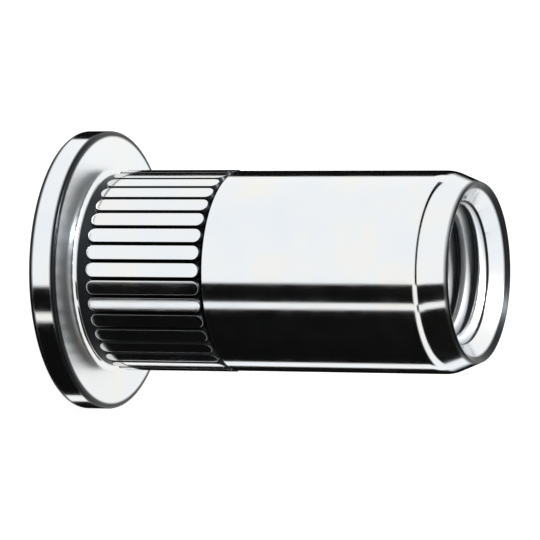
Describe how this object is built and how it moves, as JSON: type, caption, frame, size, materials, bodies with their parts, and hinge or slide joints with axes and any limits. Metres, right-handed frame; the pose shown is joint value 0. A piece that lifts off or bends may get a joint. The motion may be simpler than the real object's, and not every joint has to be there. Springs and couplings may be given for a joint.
{
  "type": "rivet nut",
  "caption": "Blind rivet nut: a flat head, a straight-knurled shank with a wide chamber that folds when set, and a threaded bore at the tapered open end.",
  "frame": {"origin": "centre of the head's outer face", "axes": "+Z along the axis, from the head towards the threaded open end; X and Y across it"},
  "size_m": [0.0153, 0.0152, 0.023],
  "materials": {
    "zinc_plated_steel": "bright zinc plate over cold-formed steel"
  },
  "bodies": {
    "root": {"rivet_nut": "zinc_plated_steel"}
  },
  "joints": []
}
